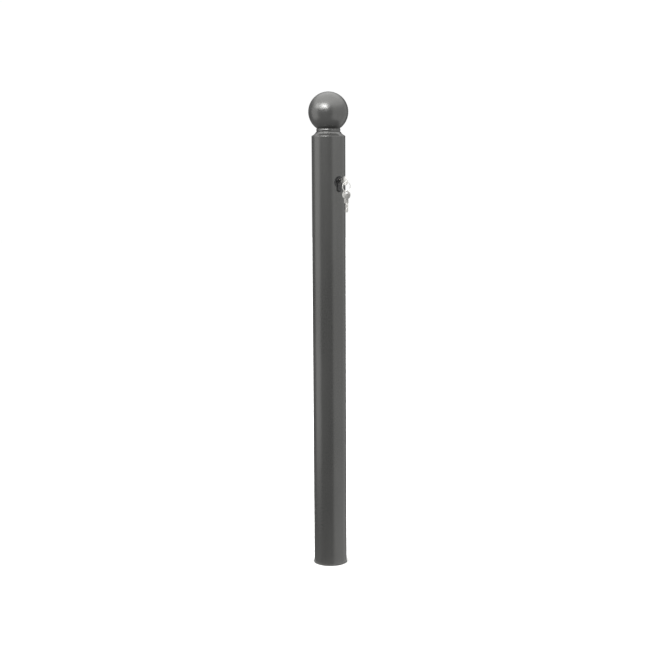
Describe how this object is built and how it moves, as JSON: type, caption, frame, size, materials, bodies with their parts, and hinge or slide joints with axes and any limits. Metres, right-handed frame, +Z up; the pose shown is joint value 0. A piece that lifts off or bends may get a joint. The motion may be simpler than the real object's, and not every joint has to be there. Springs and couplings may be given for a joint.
{
  "type": "retractable bollard",
  "caption": "Ball-topped steel bollard whose post slides down into a buried ground socket; a key lock near the top draws in the latch bolts at its foot.",
  "frame": {"origin": "on the post's axis at paving level, which is also the top of the collar", "axes": "+Z up along the post, -Y towards the lock, +X to the right of someone who faces the lock from outside"},
  "size_m": [0.2, 0.2, 2.3755],
  "materials": {
    "painted_steel": "satin, finely textured dark grey powder coat",
    "galvanised": "hot-dip galvanised, matt",
    "stainless": "brushed stainless steel",
    "zinc_plate": "zinc-plated",
    "zinc_fasteners": "zinc-plated, bright",
    "black_screws": "black oxide",
    "nickel": "nickel-plated, slightly worn",
    "dark_nickel": "black nickel plating, satin",
    "black_plastic": "moulded, fine grain",
    "black_rubber": "matt",
    "polyamide": "natural polyamide",
    "spring_steel": "spring wire"
  },
  "bodies": {
    "socket": {"socket_tube": "galvanised", "socket_flange": "galvanised", "anchor_bars": "galvanised", "base_plate": "galvanised", "drain_spigot": "galvanised", "drain_strainer": "stainless", "rubber_buffer": "black_rubber", "guide_rail": "stainless", "keeper_ring": "galvanised", "head_gasket": "black_rubber", "guide_head": "stainless", "head_washers": "zinc_fasteners", "head_screws": "zinc_fasteners", "upper_bush": "polyamide", "wiper_seal": "black_rubber", "seal_ring": "stainless"},
    "post": {"post_tube": "painted_steel", "tube_cap": "painted_steel", "neck_ring": "painted_steel", "ball_boss": "painted_steel", "ball_lower": "painted_steel", "ball_upper": "painted_steel", "ball_stud": "zinc_fasteners", "stud_nut": "zinc_fasteners", "lock_carrier": "zinc_plate", "carrier_screws": "black_screws", "cylinder_body": "dark_nickel", "cylinder_screw": "black_screws", "escutcheon": "black_plastic", "rod_guides": "polyamide", "latch_housing": "zinc_plate", "housing_screws": "zinc_fasteners", "lower_guide_ring": "polyamide", "end_plug": "zinc_plate", "end_plate": "zinc_plate", "end_screw": "zinc_fasteners"},
    "plug": {"lock_plug": "dark_nickel", "cam_crank": "zinc_plate", "crank_pin": "zinc_fasteners"},
    "inserted_key": {"key": "nickel"},
    "ring": {"key_ring": "nickel"},
    "hanging_key": {"spare_key": "nickel"},
    "rod": {"lift_rod": "zinc_plate", "rod_yoke": "zinc_plate", "spring_collar": "zinc_plate", "rod_spring": "spring_steel", "wedge_plate": "stainless"},
    "right_bolt": {"bolt_right": "stainless", "bolt_pin_right": "zinc_fasteners"},
    "left_bolt": {"bolt_left": "stainless", "bolt_pin_left": "zinc_fasteners"}
  },
  "joints": [
    {"name": "retract", "type": "slide", "parent": "socket", "child": "post", "axis": [0, 0, 1], "range_m": [-0.8, 0]},
    {"name": "key_turn", "type": "hinge", "parent": "post", "child": "plug", "pos_m": [0, -0.04005, 0.896], "axis": [0, 1, 0], "range_deg": [0, 90.01]},
    {"name": "key_pull", "type": "slide", "parent": "plug", "child": "inserted_key", "axis": [0, -1, 0], "range_m": [0, 0.03]},
    {"name": "ring_swing", "type": "hinge", "parent": "inserted_key", "child": "ring", "pos_m": [0, -0.06425, 0.896], "axis": [1, 0, 0], "range_deg": [-60, 8]},
    {"name": "spare_swing", "type": "hinge", "parent": "ring", "child": "hanging_key", "pos_m": [0, -0.06425, 0.8702], "axis": [0.9063, 0.4226, 0], "range_deg": [-35, 8]},
    {"name": "rod_lift", "type": "slide", "parent": "post", "child": "rod", "axis": [0, 0, 1], "range_m": [-0.01414, 0], "deforming": ["rod_spring"]},
    {"name": "bolt_right_out", "type": "slide", "parent": "post", "child": "right_bolt", "axis": [1, 0, 0], "range_m": [0, 0.00801]},
    {"name": "bolt_left_out", "type": "slide", "parent": "post", "child": "left_bolt", "axis": [-1, 0, 0], "range_m": [0, 0.00801]}
  ],
  "couplings": [
    {"joint": "key_turn", "follows": "rod_lift", "rad_per_m": -111.07},
    {"joint": "bolt_right_out", "follows": "rod_lift", "ratio": -0.56569},
    {"joint": "bolt_left_out", "follows": "rod_lift", "ratio": -0.56569}
  ]
}
